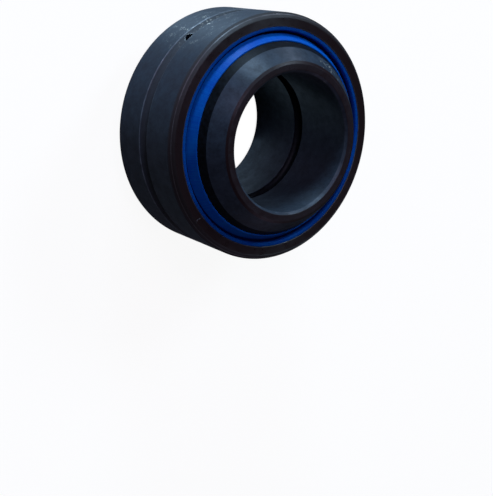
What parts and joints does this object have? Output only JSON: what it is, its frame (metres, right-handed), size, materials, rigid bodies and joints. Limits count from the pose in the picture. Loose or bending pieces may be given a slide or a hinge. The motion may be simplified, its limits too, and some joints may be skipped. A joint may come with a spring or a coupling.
{
  "type": "spherical plain bearing",
  "caption": "Spherical plain bearing: a wide ball-shaped inner ring swivels and tilts in a fractured outer ring, closed at both ends by blue lip seals.",
  "frame": {"origin": "centre of the ball, on the bore axis at mid-width of both rings", "axes": "+Z along the bore axis; the bearing stands on the inner ring's lower end face"},
  "size_m": [0.09, 0.09, 0.056],
  "materials": {
    "outer_ring_steel": "hardened bearing steel, manganese phosphated and oiled, blue-black",
    "inner_ring_steel": "hardened bearing steel, manganese phosphated and oiled, ground ball",
    "seal_elastomer": "moulded blue thermoplastic elastomer, satin"
  },
  "bodies": {
    "outer": {"outer_ring": "outer_ring_steel"},
    "seals": {"upper_seal": "seal_elastomer", "lower_seal": "seal_elastomer"},
    "inner": {"inner_ring": "inner_ring_steel"}
  },
  "joints": [
    {"name": "swivel", "type": "hinge", "parent": "outer", "child": "seals", "pos_m": [0, 0, 0], "axis": [0, 0, 1], "continuous": true},
    {"name": "tilt", "type": "hinge", "parent": "seals", "child": "inner", "pos_m": [0, 0, 0], "axis": [1, 0, 0], "range_deg": [-15, 15]}
  ]
}
